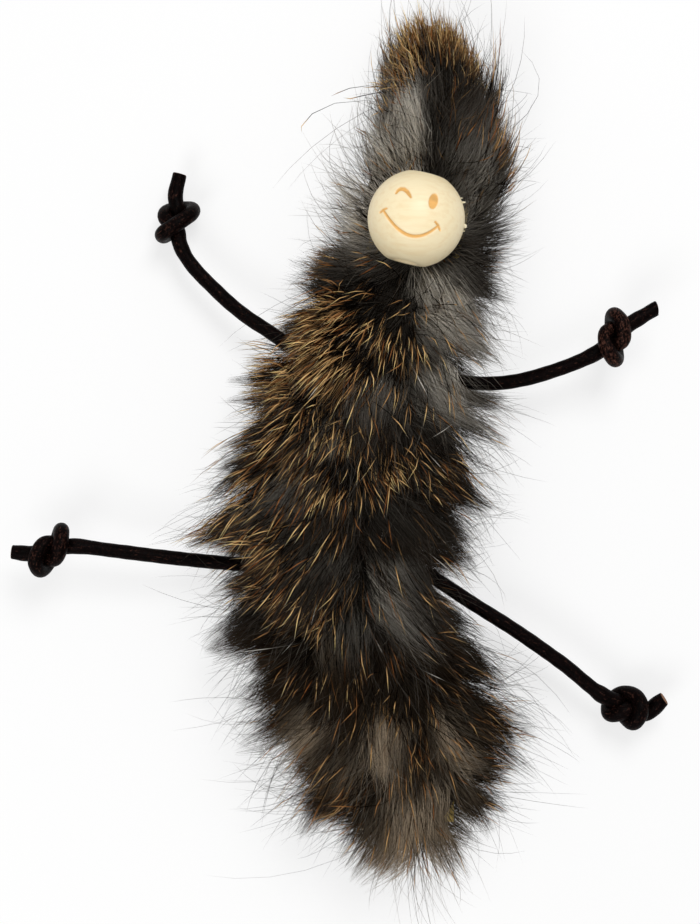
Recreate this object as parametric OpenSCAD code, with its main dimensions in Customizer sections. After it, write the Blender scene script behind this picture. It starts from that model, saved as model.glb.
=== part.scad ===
// Fur figurine with a wooden bead head and knotted leather cord limbs.
// It lies on its back on the XY plane: +Y towards the hood, +Z towards the face.

/* [Hood] */
// Length of the hood, from its tip to the shoulders
hood_l = 62; // [55:1:75]
// Width of the hood at its widest
hood_w = 43; // [36:1:50]
// Height of the hood at the shoulders
hood_h = 21; // [18:1:24]

/* [Chest] */
// Length of the chest, from the shoulders to the waist
chest_l = 32; // [28:1:38]
// Width of the chest, fringe included
chest_w = 55; // [48:1:60]
// Height of the chest
chest_h = 27; // [24:1:32]

/* [Belly] */
// Length of the belly, from the waist to the hips
belly_l = 30; // [26:1:36]
// Width of the belly, fringe included
belly_w = 64; // [56:1:66]
// Height of the belly
belly_h = 28; // [24:1:32]

/* [Tail] */
// Length of the tail, from the hips to its tip
tail_l = 62; // [56:1:76]
// Width of the tail, fringe included
tail_w = 57; // [52:1:64]
// Height of the tail at the hips
tail_h = 26; // [22:1:30]

/* [Hide] */
// Width of the folded hide strip
hide_w = 22; // [18:0.5:24]
// Thickness of one leaf of the hide
leaf_t = 1.2; // [0.8:0.1:1.6]
// Thickness of the glue film between the leaves
film_t = 0.4; // [0.2:0.1:0.6]
// Height of the fold's middle plane above the table
core_z = 9.5; // [9:0.1:10.5]

/* [Head] */
// Diameter of the wooden bead
bead_d = 20; // [16:0.5:22]
// Length of the bead along its hole
bead_l = 18.2; // [14:0.1:19]
// Diameter of the bead's hole
bead_hole = 4.5; // [3:0.1:6]
// Width of the chamfer round the hole's rims
rim = 0.5; // [0.2:0.1:0.8]
// Clockwise tilt of the head
head_tilt = 14; // [0:1:30]
// Diameter of the glue dab under the bead
dab_d = 10; // [6:0.5:12]
// Thickness of the glue dab under the bead's lowest point
dab_t = 1.1; // [0.6:0.1:2]

/* [Cord] */
// Diameter of the leather cord
cord_d = 3; // [2.5:0.1:3.2]
// Gap between the strands in a knot, from surface to surface
knot_gap = 0.45; // [0.45:0.05:0.8]

/* [Clearances] */
// Gap between the hair and what lies in it or swings past it
clear = 0.3; // [0.2:0.05:0.5]
// Gap between a cord or bead and the glue that holds it
seat = 0.05; // [0.02:0.01:0.1]

/* [Hidden] */
$fn = 64;

cord_r = cord_d / 2;
waist_y = -1;
shoulder_y = waist_y + chest_l;
hip_y = waist_y - belly_l;

// Middle of the coat across the table, at the ends of each zone
hood_tip_x = 17.5;
neck_x = 8;
chest_x = [3, 0.5];
belly_x = [0.5, -5];
hip_x = -4.5;
tail_tip_x = 12;

// A section of the coat is a loaf whose sides hang out over the table
tip_w = 6;
tip_h = 7;
side_share = 0.35;
base_cut = 0.5;
section_steps = 16;
zone_steps = 9;

// The hair lies over and under the room that a limb swings in, and parts above the limb at rest
swing_reach = 34;
swing_spare = 2;
swing_low = 0.5;
swing_high = 0.9;
part_from = 3;

// The hide strip's run along the figure
hide_top = 66;
hide_end = -76;
hide_taper = 0.25;
hide_waist_y = -22;
hide_run = 100;
hide_x = [17, -4, 12];

// The head's place across the table and along the figure
head_x = 12;
head_y = 50;
hide_z = core_z + film_t / 2 + leaf_t;
head_z = hide_z + dab_t + bead_d / 2;

// Routes of the limbs: way from the hinge to the knot, knot, end of the tail, swing range
// A knot has its middle, the compass and climb of its way out to the limb, and its spin
left_arm = [
    [[-14.5, 24.6, core_z], [-18.4, 27.4, 9.4], [-23.4, 30.7, 9], [-29.4, 35.8, 8]],
    [[-38.4, 51.6, 6.8], -70, -10, 42],
    [[-38, 61, 6.4]],
    [-40, 40]
];
right_arm = [
    [[20.5, 17.1, core_z], [24.5, 16.7, 9.6], [30.2, 16.7, 10], [35.4, 17.5, 11], [40.4, 18.9, 12]],
    [[53.9, 26.1, 13.1], 199, -5, 277],
    [[62.4, 32.1, 13]],
    [-40, 40]
];
left_leg = [
    [[-22, -21.9, core_z], [-28, -21.4, 9.6], [-35.2, -20.7, 10], [-43.6, -19.7, 11], [-52, -18.6, 11.8]],
    [[-64.4, -18.5, 12.2], -12, 3, 278],
    [[-72.4, -19, 11.8]],
    [-40, 40]
];
right_leg = [
    [[14.5, -23.4, core_z], [18.4, -26, 9.5], [23.2, -29.2, 9.4], [33.3, -35.6, 9], [43.4, -42.7, 8.4]],
    [[57.2, -52, 7], 153, 28, 190],
    [[64.9, -50.6, 7.6]],
    [-18, 40]
];

// An overhand knot, in steps of the strands' spacing: the cord comes in beside the middle, tucks
// behind, makes one turn round both strands and leaves on the other side of the middle
limb_steps = 2;
knot_steps = 12;
knot_lead = [[0, 0.6, 1.5], [0, 0.4, 0.6], [-0.15, 0.5, 0.2], [-0.6, 0.45, -0.4]];
knot_arc = [212, 508];
knot_pitch = cord_d + knot_gap;
cord_sides = 8;

// Vectors, smooth curves and tubes
function unit(v) = v / norm(v);
function mix(a, b, t) = a + (b - a) * t;
function ease(s) = (1 - cos(180 * min(max(s, 0), 1))) / 2;

function slope(p, i) =
    i == 0 ? unit(p[1] - p[0]) :
    i == len(p) - 1 ? unit(p[i] - p[i - 1]) :
    let (a = norm(p[i] - p[i - 1]), b = norm(p[i + 1] - p[i]))
    ((p[i] - p[i - 1]) * b / a + (p[i + 1] - p[i]) * a / b) / (a + b);

function hermite(p, i, t) =
    let (d = norm(p[i + 1] - p[i]))
    p[i] * (2 * t ^ 3 - 3 * t ^ 2 + 1) + slope(p, i) * d * (t ^ 3 - 2 * t ^ 2 + t)
    + p[i + 1] * (3 * t ^ 2 - 2 * t ^ 3) + slope(p, i + 1) * d * (t ^ 3 - t ^ 2);

function smooth(p, steps) = concat(
    [for (i = [0 : len(p) - 2], k = [0 : steps - 1]) hermite(p, i, k / steps)],
    [p[len(p) - 1]]
);

function across(t) = unit(cross(t, abs(t.z) < 0.9 ? [0, 0, 1] : [1, 0, 0]));
function level(n, t) = unit(n - t * (n * t));
function sides(path) = [
    for (
        i = 0, n = across(slope(path, 0));
        i < len(path);
        i = i + 1, n = i < len(path) ? level(n, unit(slope(path, i))) : n
    ) n
];

function ring(centre, t, n, r) = [
    for (k = [0 : cord_sides - 1])
        let (a = 360 * (k + 0.5) / cord_sides)
        centre + r * (n * cos(a) + cross(t, n) * sin(a))
];

// Triangles across a ring, between its two sides
function ladder(n) = [
    for (i = [0 : n / 2 - 1])
        each concat(
            i + 1 < n - 1 - i ? [[i, i + 1, n - 1 - i]] : [],
            i > 0 ? [[i, n - 1 - i, n - i]] : []
        )
];

module skin(rings) {
    n = len(rings[0]);
    last = (len(rings) - 1) * n;
    wall = [
        for (i = [0 : len(rings) - 2], k = [0 : n - 1])
            let (a = i * n + k, b = i * n + (k + 1) % n)
            each [[a, b, b + n], [a, b + n, a + n]]
    ];
    start = [for (f = ladder(n)) [f[0], f[2], f[1]]];
    end = [for (f = ladder(n)) [for (k = f) last + k]];
    polyhedron([for (r = rings) each r], concat(wall, start, end), convexity = 10);
}

// A round dome on the first end, centred on the first point, makes room for the hinge
function cord_rings(path, first, end, dome) =
    let (n = sides(path), t = [for (i = [0 : len(path) - 1]) unit(slope(path, i))])
    concat(
        dome
        ? [for (a = [20, 50]) ring(path[0] - t[0] * cord_r * cos(a), t[0], n[0], cord_r * sin(a))]
        : [],
        [for (i = [first : end]) ring(path[i], t[i], n[i], cord_r)]
    );

// The knot's middle line, and the whole limb's
function knot_turn(a) = [1.15 * cos(a) - 0.07, 1.5 * sin(a), 0.9 * (a - 360) / 180];
function knot_form() = concat(
    knot_lead,
    [for (i = [0 : knot_steps]) knot_turn(mix(knot_arc[0], knot_arc[1], i / knot_steps))],
    [for (i = [len(knot_lead) - 1 : -1 : 0]) [knot_lead[i].x, -knot_lead[i].y, -knot_lead[i].z]]
);

function knot(k) =
    let (
        out = [cos(k[1]) * cos(k[2]), sin(k[1]) * cos(k[2]), sin(k[2])],
        u = [-sin(k[1]), cos(k[1]), 0],
        v = cross(out, u),
        x = u * cos(k[3]) + v * sin(k[3]),
        y = cross(out, x)
    )
    [for (p = knot_form()) k[0] + knot_pitch * (x * p.x + y * p.y + out * p.z)];

function limb_path(limb) = smooth(concat(limb[0], knot(limb[1]), limb[2]), limb_steps);
function knot_start(limb) = len(limb[0]) * limb_steps;

module limb_cord(limb) {
    skin(cord_rings(limb_path(limb), 0, knot_start(limb), true));
}

module limb_knot(limb) {
    path = limb_path(limb);
    skin(cord_rings(path, knot_start(limb), len(path) - 1, false));
}

// Least gap of a limb's cord to itself, more than two diameters apart along it, and least height
function least_gap(p) = min([
    for (i = [0 : len(p) - 1])
        for (j = i + 1, s = 0; j < len(p); s = s + norm(p[j] - p[j - 1]), j = j + 1)
            if (s > 2 * cord_d) norm(p[i] - p[j]) - cord_d
]);
function least_height(p) = min([for (q = p) q.z]) - cord_r;

echo(left_arm_gap = least_gap(limb_path(left_arm)), low = least_height(limb_path(left_arm)));
echo(right_arm_gap = least_gap(limb_path(right_arm)), low = least_height(limb_path(right_arm)));
echo(left_leg_gap = least_gap(limb_path(left_leg)), low = least_height(limb_path(left_leg)));
echo(right_leg_gap = least_gap(limb_path(right_leg)), low = least_height(limb_path(right_leg)));

// Zones of the coat: each row has its place along Y and X, half width and height
function hood_row(t) =
    let (s = (1 - (1 - t) ^ 2.2) ^ 0.42)
    [
        shoulder_y + hood_l * (1 - t), mix(hood_tip_x, neck_x, t ^ 2.2),
        max(hood_w * s, tip_w) / 2, max(hood_h * (1 - (1 - t) ^ 5) ^ 0.6, tip_h)
    ];

function swell(t, depth) = 1 - depth * (2 * t - 1) ^ 2;
function chest_row(t) = [
    shoulder_y - chest_l * t, mix(chest_x[0], chest_x[1], t),
    chest_w / 2 * mix(0.92, 1.07, t), chest_h * mix(0.8, 0.98, ease(t))
];
function belly_row(t) = [
    waist_y - belly_l * t, mix(belly_x[0], belly_x[1], t),
    belly_w / 2 * swell(t, 0.08), belly_h * swell(t, 0.06)
];
function tail_row(t) = [
    hip_y - tail_l * t, mix(hip_x, tail_tip_x, 1 - (1 - t) ^ 1.8),
    max(tail_w * (1 - t ^ 4.5) ^ 0.7, tip_w) / 2, max(tail_h * (1 - t ^ 3) ^ 0.6, tip_h)
];

function section(row) =
    let (side = side_share * row[3])
    concat(
        [
            for (i = [0 : section_steps])
                let (u = -cos(180 * i / section_steps))
                [row[1] + row[2] * u, row[0], side + (row[3] - side) * max(1 - abs(u) ^ 2.5, 0) ^ 0.6]
        ],
        [
            for (i = [1 : section_steps - 1])
                let (u = cos(180 * i / section_steps))
                [row[1] + row[2] * u, row[0], side - (side + base_cut) * (1 - abs(u) ^ 3)]
        ]
    );

module zone(rows) {
    difference() {
        skin([for (row = rows) section(row)]);
        table();
        hide_room();
        core(left_arm, right_arm, cord_r + clear, -clear);
        core(left_leg, right_leg, cord_r + clear, -clear);
        for (limb = [left_arm, right_arm, left_leg, right_leg]) {
            limb_room(limb);
        }
        translate([head_x, head_y, head_z]) sphere(d = bead_d + 2 * clear);
        translate([head_x, head_y, hide_z]) cylinder(d = dab_d + 2 * clear, h = bead_d / 2);
    }
}

module table() {
    translate([-100, -150, -20]) cube([200, 300, 20]);
}

// Room for a limb's whole swing, and the parting above it
module limb_room(limb) {
    r = cord_r + 2 * clear;
    way = limb[0][2] - limb[0][0];
    half = (limb[3][1] - limb[3][0]) / 2 + swing_spare;
    middle = atan2(way.y, way.x) + (limb[3][1] + limb[3][0]) / 2;
    apex = -r / sin(half) * [cos(middle), sin(middle)];
    fan = [for (a = [-half : half / 4 : half]) apex + swing_reach * [cos(middle + a), sin(middle + a)]];
    translate(limb[0][0] - [0, 0, r + swing_low])
        linear_extrude(height = 2 * r + swing_low + swing_high)
            polygon(concat([apex], fan));
    translate(limb[0][0]) rotate([0, 0, atan2(way.y, way.x)]) translate([part_from, -r, 0])
        cube([swing_reach, 2 * r, chest_h + belly_h]);
}

// The hidden stretch of a cord between two hinges, short of both by the hinge's room
module core(left, right, r, inset) {
    a = left[0][0];
    b = right[0][0];
    way = b - a;
    turn = atan2(way.y, way.x);
    translate(a) rotate([0, 0, turn]) translate([inset, 0, 0])
        rotate([0, 90, 0]) cylinder(r = r, h = norm(way) - 2 * inset);
}

// The hide strip, seen from above
function strip_x(y) =
    y > hide_waist_y
    ? mix(hide_x[1], hide_x[0], ease((y - hide_waist_y) / hide_run))
    : mix(hide_x[1], hide_x[2], ease((hide_waist_y - y) / (hide_waist_y - hide_end)));
function strip_half(y) =
    let (s = 2 * (y - hide_end) / (hide_top - hide_end) - 1)
    hide_w / 2 * (1 - hide_taper * abs(s) ^ 3);
strip_rows = [for (i = [0 : 24]) mix(hide_end, hide_top, i / 24)];

module strip(left, right, ends) {
    rows = concat([hide_end - ends], strip_rows, [hide_top + ends]);
    polygon(concat(
        [for (y = rows) [strip_x(y) + strip_half(y) + right, y]],
        [
            for (i = [len(rows) - 1 : -1 : 0])
                [strip_x(rows[i]) - strip_half(rows[i]) - left, rows[i]]
        ]
    ));
}

module slab(height) {
    translate([0, 0, core_z - height / 2]) linear_extrude(height = height) children();
}

module hide_room() {
    slab(film_t + 2 * leaf_t + 2 * clear) strip(clear, clear, clear);
    intersection() {
        ridges(clear);
        slab(20) strip(clear, clear, clear);
    }
}

// Each leaf bulges over the cords that lie between them
module ridges(grow) {
    core(left_arm, right_arm, cord_r + seat + leaf_t + grow, 0);
    core(left_leg, right_leg, cord_r + seat + leaf_t + grow, 0);
}

module cord_channels() {
    core(left_arm, right_arm, cord_r + seat, 0);
    core(left_leg, right_leg, cord_r + seat, 0);
}

module hide() {
    color("tan") difference() {
        union() {
            slab(film_t + 2 * leaf_t) strip(0, 0, 0);
            intersection() {
                ridges(0);
                slab(20) strip(0, 0, 0);
            }
        }
        slab(film_t) strip(-leaf_t, clear, clear);
        cord_channels();
    }
}

module glue_film() {
    color("lightyellow") difference() {
        slab(film_t) strip(-leaf_t, 0, 0);
        cord_channels();
    }
}

module head_glue() {
    color("whitesmoke") difference() {
        translate([head_x, head_y, hide_z]) cylinder(d = dab_d, h = dab_t + dab_d / 4);
        translate([head_x, head_y, head_z]) sphere(d = bead_d + 2 * seat);
    }
}

module head_bead() {
    color("wheat") translate([head_x, head_y, head_z]) rotate([0, 0, -head_tilt]) rotate([-90, 0, 0])
        difference() {
            intersection() {
                sphere(d = bead_d);
                cylinder(d = bead_d + 1, h = bead_l, center = true);
            }
            cylinder(d = bead_hole, h = bead_l + 1, center = true);
            for (end = [0, 1]) {
                mirror([0, 0, end]) translate([0, 0, bead_l / 2 - rim])
                    cylinder(d1 = bead_hole, d2 = bead_hole + 4 * rim, h = 2 * rim);
            }
        }
}

module fur_hood() {
    color("dimgray") zone([for (i = [0 : zone_steps]) hood_row((i / zone_steps) ^ 1.6)]);
}

module fur_chest() {
    color("saddlebrown") zone([for (i = [0 : zone_steps]) chest_row(i / zone_steps)]);
}

module fur_belly() {
    color("sienna") zone([for (i = [0 : zone_steps]) belly_row(i / zone_steps)]);
}

module fur_tail() {
    color("gray") zone([for (i = [0 : zone_steps]) tail_row(i / zone_steps)]);
}

module arm_cord_core() { color("black") core(left_arm, right_arm, cord_r, cord_r + clear); }
module leg_cord_core() { color("black") core(left_leg, right_leg, cord_r, cord_r + clear); }

module left_arm_cord() { color("black") limb_cord(left_arm); }
module left_hand_knot() { color("black") limb_knot(left_arm); }
module right_arm_cord() { color("black") limb_cord(right_arm); }
module right_hand_knot() { color("black") limb_knot(right_arm); }
module left_leg_cord() { color("black") limb_cord(left_leg); }
module left_foot_knot() { color("black") limb_knot(left_leg); }
module right_leg_cord() { color("black") limb_cord(right_leg); }
module right_foot_knot() { color("black") limb_knot(right_leg); }

hide();
glue_film();
arm_cord_core();
leg_cord_core();
head_glue();
head_bead();
fur_hood();
fur_chest();
fur_belly();
fur_tail();
left_arm_cord();
left_hand_knot();
right_arm_cord();
right_hand_knot();
left_leg_cord();
left_foot_knot();
right_leg_cord();
right_foot_knot();
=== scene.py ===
"""Fur figurine with a wooden bead head and knotted leather cord limbs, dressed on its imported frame."""

import math

import bpy
import numpy as np
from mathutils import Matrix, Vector
from mathutils.kdtree import KDTree


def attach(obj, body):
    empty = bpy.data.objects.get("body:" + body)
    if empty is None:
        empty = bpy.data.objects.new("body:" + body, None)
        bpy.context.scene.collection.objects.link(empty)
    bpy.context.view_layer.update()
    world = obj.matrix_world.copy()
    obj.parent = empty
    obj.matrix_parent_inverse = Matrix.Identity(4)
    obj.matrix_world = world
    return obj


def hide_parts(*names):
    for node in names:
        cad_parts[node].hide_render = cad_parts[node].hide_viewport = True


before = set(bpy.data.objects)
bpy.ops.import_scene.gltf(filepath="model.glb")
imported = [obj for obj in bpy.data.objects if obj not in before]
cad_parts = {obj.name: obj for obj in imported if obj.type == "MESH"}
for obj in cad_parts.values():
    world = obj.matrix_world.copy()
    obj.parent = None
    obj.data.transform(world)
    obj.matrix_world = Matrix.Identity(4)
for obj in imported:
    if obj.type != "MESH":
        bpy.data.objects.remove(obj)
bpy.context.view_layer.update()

bl_info = {
    "name": "Fur figurine",
    "version": (1, 0, 0),
    "blender": (4, 5, 0),
    "location": "View3D > Sidebar > Figurine",
    "description": "Dresses a fur figurine with a bead head and knotted cord limbs",
    "category": "Object",
}

MM = 0.001

# The photograph: its height in pixels, its scale in pixels per mm, and the level in mm where that scale holds
PHOTO_HEIGHT = 924
PHOTO_SCALE = 4.75
PHOTO_LEVEL = 12
# Width of the camera's sensor, in mm
SENSOR = 36

# Routes of the limbs, in mm as in the part's source: way from the hinge to the knot, knot, end of the tail.
# A knot has its middle, the compass and climb of its way out to the limb, and its spin. Then come the nodes that
# the limb stands for, its swing in degrees, how loosely the knot is drawn, the slant of the cut end, how much the
# knot is rubbed and how much the cord swells in it.
CORE_Z = 9.5
LIMBS = {
    "left_arm": {
        "way": [(-14.5, 24.6, CORE_Z), (-18.4, 27.4, 9.4), (-23.4, 30.7, 9), (-29.4, 35.8, 8)],
        "knot": ((-38.4, 51.6, 6.8), -70, -10, 42),
        "tail": (-38, 61, 6.4),
        "nodes": ("left_arm_cord", "left_hand_knot"),
        "swing": (-40, 40),
        "draw": 0.86, "slant": 0.05, "wear": 0.16, "swell": 0.1,
    },
    "right_arm": {
        "way": [(20.5, 17.1, CORE_Z), (24.5, 16.7, 9.6), (30.2, 16.7, 10), (35.4, 17.5, 11), (40.4, 18.9, 12)],
        "knot": ((53.9, 26.1, 13.1), 199, -5, 277),
        "tail": (62.4, 32.1, 13),
        "nodes": ("right_arm_cord", "right_hand_knot"),
        "swing": (-40, 40),
        "draw": 0.87, "slant": 0.35, "wear": 0.5, "swell": 0.1,
    },
    "left_leg": {
        "way": [(-22, -21.9, CORE_Z), (-28, -21.4, 9.6), (-35.2, -20.7, 10), (-43.6, -19.7, 11), (-52, -18.6, 11.8)],
        "knot": ((-64.4, -18.5, 12.2), -12, 3, 278),
        "tail": (-72.4, -19, 11.8),
        "nodes": ("left_leg_cord", "left_foot_knot"),
        "swing": (-40, 40),
        "draw": 0.88, "slant": 0.0, "wear": 0.22, "swell": 0.12,
    },
    "right_leg": {
        "way": [(14.5, -23.4, CORE_Z), (18.4, -26, 9.5), (23.2, -29.2, 9.4), (33.3, -35.6, 9), (43.4, -42.7, 8.4)],
        "knot": ((57.2, -52, 7), 153, 28, 190),
        "tail": (64.9, -50.6, 7.6),
        "nodes": ("right_leg_cord", "right_foot_knot"),
        "swing": (-18, 40),
        "draw": 0.72, "slant": 0.1, "wear": 0.12, "swell": 0.2,
    },
}
KNOT_LEAD = np.array([(0, 0.6, 1.5), (0, 0.4, 0.6), (-0.15, 0.5, 0.2), (-0.6, 0.45, -0.4)])
KNOT_ARC = (212, 508)
KNOT_STEPS = 12
# Half width, half height and rise of the knot's loop, and how far it is off the middle, in cord pitches
KNOT_LOOP = (1.15, 1.5, 0.9)
KNOT_OFF = 0.07
# Middles of two strands that lie side by side in a knot, and the step along a cord's finished line, in mm
KNOT_PITCH = 3.45
CORD_STEP = 0.32
# Rings of a cord's cut end: size against the cord, and how far on, in mm
CUT_RINGS = ((1.0, 0.0), (0.95, 0.16), (0.86, 0.24), (0.45, 0.3))

# The head's middle, in mm, and the clockwise tilt of its hole
HEAD = np.array((12.0, 50.0, 22.0))
HEAD_TILT = 14
# Hair keeps this far from the head's middle, in mm. Seen from above, no hair lies over the face, which reaches less
# far at the lower left, and few hairs lap over its rim.
HEAD_CLEAR = 10.25
FACE_REACH = 9.2
FACE_REACH_LOW = 8.3
FACE_RIM = 10.3
# Flecks of glue at the bead's rim: compass and rise of the way there, radius in mm, and how it is drawn out
FLECKS = (
    (19, 3, 0.34, (1.7, 0.7, 0.6)), (25, -2, 0.22, (1.9, 0.7, 0.7)),
    (-9, 4, 0.32, (0.9, 1.5, 0.6)), (-14, -6, 0.2, (1.4, 0.8, 0.8)),
)
FLECK_OUT = 10.1

# Edge of the coat seen from above, in mm: place along the figure, left edge, right edge
OUTLINE = np.array((
    (94, 12, 17), (90, 10, 21), (86, 10, 24), (78, 7.5, 25.5), (70, 4.5, 28), (61, -5, 31.5),
    (53, -4.5, 31), (44, -5, 31), (36, -7, 28), (32, -10.5, 28), (27, -20, 25.5),
    (19, -16.5, 29.5), (11, -19, 32.5), (2, -21.5, 29.5), (-6, -28, 24), (-10, -26, 31),
    (-14, -31.5, 22), (-18, -36.5, 20), (-23, -36, 19.5), (-28, -33, 22), (-33, -24.5, 23), (-40, -22.5, 37),
    (-52, -29.5, 35), (-56, -17, 35), (-65, -23.5, 39), (-70, -19.5, 43), (-77, -1, 24),
    (-82, 6, 24), (-88, 10.5, 20.5), (-92.5, 13, 18), (-95, 14.5, 16.5),
))

# The longest stray hairs end here, in mm from the middle, and no hair runs further than its reach or under the floor
COAT_END = 106
LONGEST = 46.0
LOWEST = 0.3

# Half the room that a swinging cord has in the hair, in mm: where hair is taken off, to its side and up and down
# where hair is laid over or under it. Then the share of hairs left over a bare place.
CORD_ROOM = 1.75
CORD_ROOM_SIDE = 1.8
CORD_ROOM_HEIGHT = 2.0
LEFT_OVER = 0.06

# Half the width of a hair in its UV map
UV_SPREAD = 0.009

# Where the hide's edge shows near the tail, in mm: middle, half width and half length, level
HIDE_EDGE = (19.9, -74)
HIDE_EDGE_SIZE = (0.9, 3.2)
HIDE_EDGE_LEVEL = 9

# The pelt's body under the hair, in mm: place along the figure, half width, lowest and highest point
PELT_ROWS = (
    (-78, 4.5, 5, 12), (-73, 8.6, 3, 16), (-63, 13, 2.5, 20.5), (-52, 15.5, 2.2, 22.2), (-40, 16.5, 2.2, 23.2),
    (-26, 17, 2.2, 23.8), (-12, 16.5, 2.2, 24), (0, 15.5, 2.2, 23.8), (13, 15, 2.2, 23), (25, 14.5, 2.2, 21),
    (32, 13.8, 2.2, 17.5), (38, 13.5, 2.3, 13), (46, 13.5, 2.5, 11.6), (55, 13.2, 2.6, 11.8),
    (60.5, 12.6, 2.7, 15.5), (66, 11.6, 2.9, 17.6), (72, 9.8, 3.2, 17.6), (77, 7, 4, 15), (80, 4, 5.5, 11.5),
)

# A slanted direction that tells the pelt's points apart by their places along it
SORT_WAY = (1.0, 7.31, 0.137)

# Places where the pale underfur shows, and where amber-tipped guard hair is thick, in mm as seen from above:
# middle, half width, half length, strength
PALE = (
    (9.6, 67, 3, 15, 2.2), (-1.5, 61, 8.5, 12.5, 2.8), (-3, 51, 5, 9, 0.9), (12.5, 38, 2.4, 5, 1.0),
    (16.5, 32, 4.4, 7.5, 1.4), (22, 27, 6, 6, 1.15), (26, 23, 4, 5, 0.7), (22, 12, 6, 5.5, 0.95),
    (25, 57, 4, 8, 0.5), (28, 62, 5, 14, 0.3), (11, -33, 3.2, 6, 0.7), (-13.5, -59, 3, 4, 1.0),
    (4, -65, 4, 6, 1.2), (21, -60, 4, 6, 1.2), (13, -84, 9, 9, 1.2), (-18, -10, 6, 4, 0.25), (-4, 3, 7, 4, 0.15),
)
AMBER = (
    (-1, 28, 9, 8, 1.7), (-9, 20, 9, 9, 1.4), (-2, 4, 12, 6, 0.7), (-3, -21, 10, 7.5, 0.6), (-14, -8, 10, 6, 0.6),
    (0, -38, 10, 8, 0.1), (8, -54, 10, 10, 0.12), (17, 77.5, 9, 4.5, 4.0), (25, 5, 5, 6, 1.6), (28, 60, 4, 15, 0.7),
    (22, -52, 6, 14, 0.2), (-20, -26, 7, 12, 0.1), (-6, 40, 5, 8, 1.1), (10, -74, 14, 8, 0.15),
)
# Places where the coat is thin
THIN = ((-1.5, 62.5, 7.5, 15, 0.9), (14, 89, 12, 7, 0.55), (12, -93, 16, 7, 0.3), (30, 26, 5, 9, 0.4))


def srgb(red, green, blue):
    """Linear colour of a screen colour given as 0 to 255."""
    parts = [value / 255 for value in (red, green, blue)]
    return tuple(p / 12.92 if p <= 0.04045 else ((p + 0.055) / 1.055) ** 2.4 for p in parts)


def length_prop(name, description, default):
    return bpy.props.FloatProperty(name=name, description=description, default=default, unit="LENGTH", precision=5)


def colour_prop(name, description, default):
    return bpy.props.FloatVectorProperty(
        name=name, description=description, default=srgb(*default), subtype="COLOR", size=3, min=0, max=1)


class FIGURINE_PG_cord(bpy.types.PropertyGroup):
    """Sizes and colours of the knotted leather cord"""
    diameter: length_prop("Diameter", "Thickness of the round cord", 3 * MM)
    leather: colour_prop("Leather", "Colour of the cord's dyed skin", (5, 2, 2))
    # The worn colour, lightened, also gives the painted glints on the cord
    worn_and_glint: colour_prop("Worn leather", "Colour where the dye is rubbed off", (92, 60, 50))
    cut: colour_prop("Cut end", "Colour of the leather's undyed inside", (150, 112, 88))


class FIGURINE_PG_bead(bpy.types.PropertyGroup):
    """Sizes and colours of the bead head"""
    diameter: length_prop("Diameter", "Diameter of the bead", 20 * MM)
    length: length_prop("Length", "Length along the hole, over the flats", 18.2 * MM)
    hole: length_prop("Hole", "Diameter of the drilled hole", 4.5 * MM)
    depth: length_prop("Engraving", "Depth of the engraved face", 0.22 * MM)
    wood: colour_prop("Wood", "Colour of the bare wood", (254, 237, 196))
    grain: colour_prop("Grain", "Colour of the wood's growth lines", (246, 222, 174))
    burnt: colour_prop("Engraved lines", "Colour of the engraved wood", (222, 170, 98))


class FIGURINE_PG_coat(bpy.types.PropertyGroup):
    """Amount, size and colours of the fur"""
    strand: length_prop("Strand", "Thickness of a hair at its root", 0.16 * MM)
    tufts: bpy.props.IntProperty(name="Tufts", description="Number of tufts in the whole coat", default=330, min=1)
    seed: bpy.props.IntProperty(name="Seed", description="Seed of the hair's places", default=58)
    # The skin wool's near-black is partly the wool's own dark colour and partly painted shade for the depths between
    # the tufts
    skin: colour_prop("Skin wool", "Colour of the dense wool close to the skin", (5, 3, 2))
    # The dark coat's colour is the fur's own near-black, made darker still as painted shade for the deepest parts of
    # the coat
    dark: colour_prop("Dark coat", "Colour of the dark top coat", (8, 5, 3))
    tip: colour_prop("Coat tip", "Colour of the top coat's tips", (44, 30, 18))
    under: colour_prop("Underfur", "Colour of the grey underfur", (186, 178, 164))
    pale: colour_prop("Pale fur", "Colour of the palest tufts", (238, 232, 220))
    brown: colour_prop("Tail underfur", "Colour of the browner underfur of the tail", (196, 176, 150))
    amber: colour_prop("Amber band", "Colour of the band near a guard hair's tip", (238, 193, 132))
    rust: colour_prop("Rust band", "Colour of the redder, dimmer bands", (170, 100, 50))
    hide: colour_prop("Hide", "Colour of the tanned skin", (252, 216, 128))
    glue: colour_prop("Glue", "Colour of the set glue", (232, 222, 190))


class FIGURINE_PG_stage(bpy.types.PropertyGroup):
    """Light and floor round the figurine"""
    height: length_prop("Camera height", "Height of the camera over the floor", 432 * MM)
    world: bpy.props.FloatProperty(name="Ambient", description="Level of the even light", default=0.42, min=0)
    key: bpy.props.FloatProperty(name="Key", description="Power of the soft main lamp, in watts", default=2.1, min=0)
    floor: colour_prop("Floor", "Colour of the floor", (243, 243, 243))


# Materials


def new_material(name, roughness, specular=0.5):
    material = bpy.data.materials.new(name)
    material.use_nodes = True
    shader = material.node_tree.nodes["Principled BSDF"]
    shader.inputs["Roughness"].default_value = roughness
    shader.inputs["Specular IOR Level"].default_value = specular
    return material, material.node_tree, shader


def add_node(tree, kind, inputs=None, **settings):
    """Add a node, set its options, and fill its sockets with values or other nodes' outputs."""
    node = tree.nodes.new("ShaderNode" + kind)
    for name, value in settings.items():
        setattr(node, name, value)
    for name, value in (inputs or {}).items():
        if isinstance(value, bpy.types.NodeSocket):
            tree.links.new(value, node.inputs[name])
        else:
            node.inputs[name].default_value = value
    return node


def add_ramp(tree, factor, stops):
    """Colour ramp from (place, colour) stops."""
    node = add_node(tree, "ValToRGB", {"Fac": factor})
    elements = node.color_ramp.elements
    while len(elements) < len(stops):
        elements.new(1.0)
    for element, (place, colour) in zip(elements, stops):
        element.position = place
        element.color = (*colour, 1)
    return node.outputs["Color"]


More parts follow.
